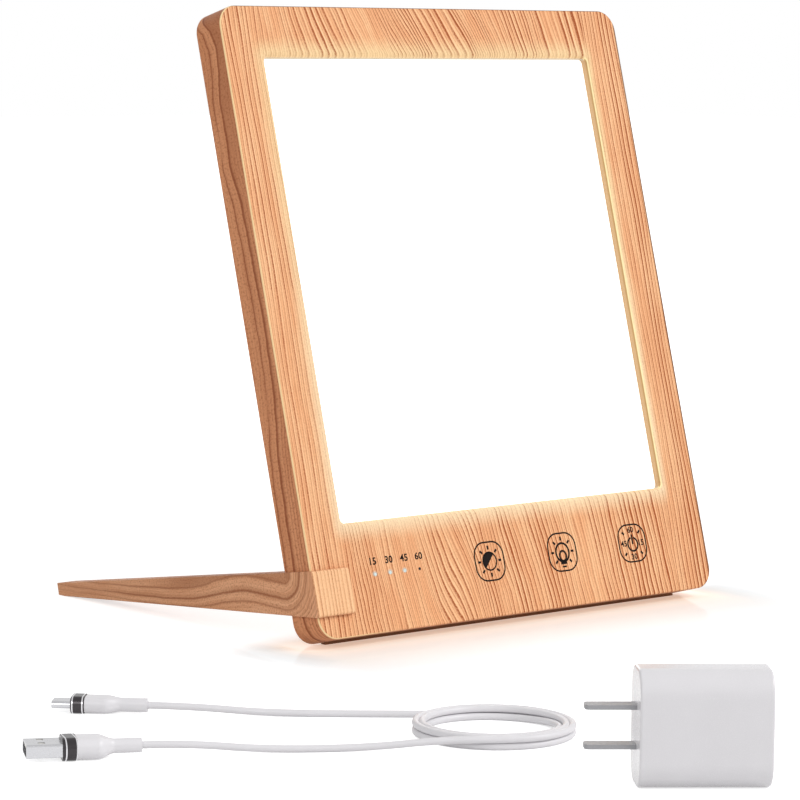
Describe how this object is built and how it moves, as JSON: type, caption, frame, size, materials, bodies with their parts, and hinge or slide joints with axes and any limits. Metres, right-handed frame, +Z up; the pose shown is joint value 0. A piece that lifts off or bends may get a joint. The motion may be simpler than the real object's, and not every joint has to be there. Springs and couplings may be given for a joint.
{
  "type": "light therapy lamp",
  "caption": "Wood-look light therapy panel leaning on a clip-on wedge leg, with touch keys and timer lights, its USB lead coiled and a plug-in adapter beside it.",
  "frame": {"origin": "middle of the foot strip's face, on the surface that the lamp stands on", "axes": "+X to the right along the panel's width as seen from the front, +Y to the back, away from the lit face, +Z up"},
  "size_m": [0.4186, 0.4428, 0.2452],
  "materials": {
    "wood_frame": "wood-grain printed moulding, satin",
    "wood_cover": "wood-grain printed moulding, satin",
    "wood_leg": "wood-grain printed moulding, satin",
    "opal_panel": "opal diffuser, evenly lit",
    "white_film": "white optical film",
    "clear_guide": "clear moulded light guide",
    "backing_metal": "plain sheet",
    "strip_board": "white circuit board",
    "led_package": "moulded package with yellow phosphor",
    "circuit_board": "green solder mask",
    "timer_light": "clear pipe, cool white light",
    "touch_foam": "conductive foam",
    "component_black": "moulded body",
    "component_metal": "plain can",
    "connector_white": "moulded connector",
    "plated_steel": "nickel plated",
    "screw_steel": "zinc plated",
    "foot_rubber": "matt brown rubber",
    "white_lead": "soft white sheath",
    "white_grip": "soft moulded grip",
    "black_collar": "dark anodised ring with bright edges",
    "adapter_white": "satin white moulding"
  },
  "bodies": {
    "lamp": {"frame_housing": "wood_frame", "rear_cover": "wood_cover", "diffuser_panel": "opal_panel", "diffusion_film": "white_film", "light_guide": "clear_guide", "reflector_sheet": "white_film", "backing_plate": "backing_metal", "led_strip_left": "strip_board", "led_strip_right": "strip_board", "strip_leds_left": "led_package", "strip_leds_right": "led_package", "control_board": "circuit_board", "board_screws": "screw_steel", "casing_screws": "screw_steel", "touch_pads": "touch_foam", "timer_leds": "led_package", "light_pipes": "timer_light", "inlet_shell": "plated_steel", "inlet_tongue": "component_black", "control_chip": "component_black", "power_inductor": "component_black", "filter_capacitors": "component_metal", "strip_connectors": "connector_white", "strip_tails": "white_film", "foot_strip": "foot_rubber", "cable_lead_small": "white_lead", "cable_lead_large": "white_lead", "cable_coil": "white_lead", "small_plug_grip": "white_grip", "large_plug_grip": "white_grip", "small_plug_collar": "black_collar", "large_plug_collar": "black_collar", "small_plug_shell": "plated_steel", "large_plug_shell": "plated_steel", "small_plug_insert": "component_black", "large_plug_insert": "connector_white", "adapter_housing": "adapter_white", "adapter_cap": "adapter_white", "adapter_blades": "plated_steel", "adapter_port": "plated_steel", "adapter_port_tongue": "connector_white", "adapter_board": "circuit_board", "adapter_transformer": "component_black"},
    "stand": {"stand_leg": "wood_leg"}
  },
  "joints": [
    {"name": "stand_slide", "type": "slide", "parent": "lamp", "child": "stand", "axis": [-1, 0, 0], "range_m": [0, 0.024]}
  ]
}
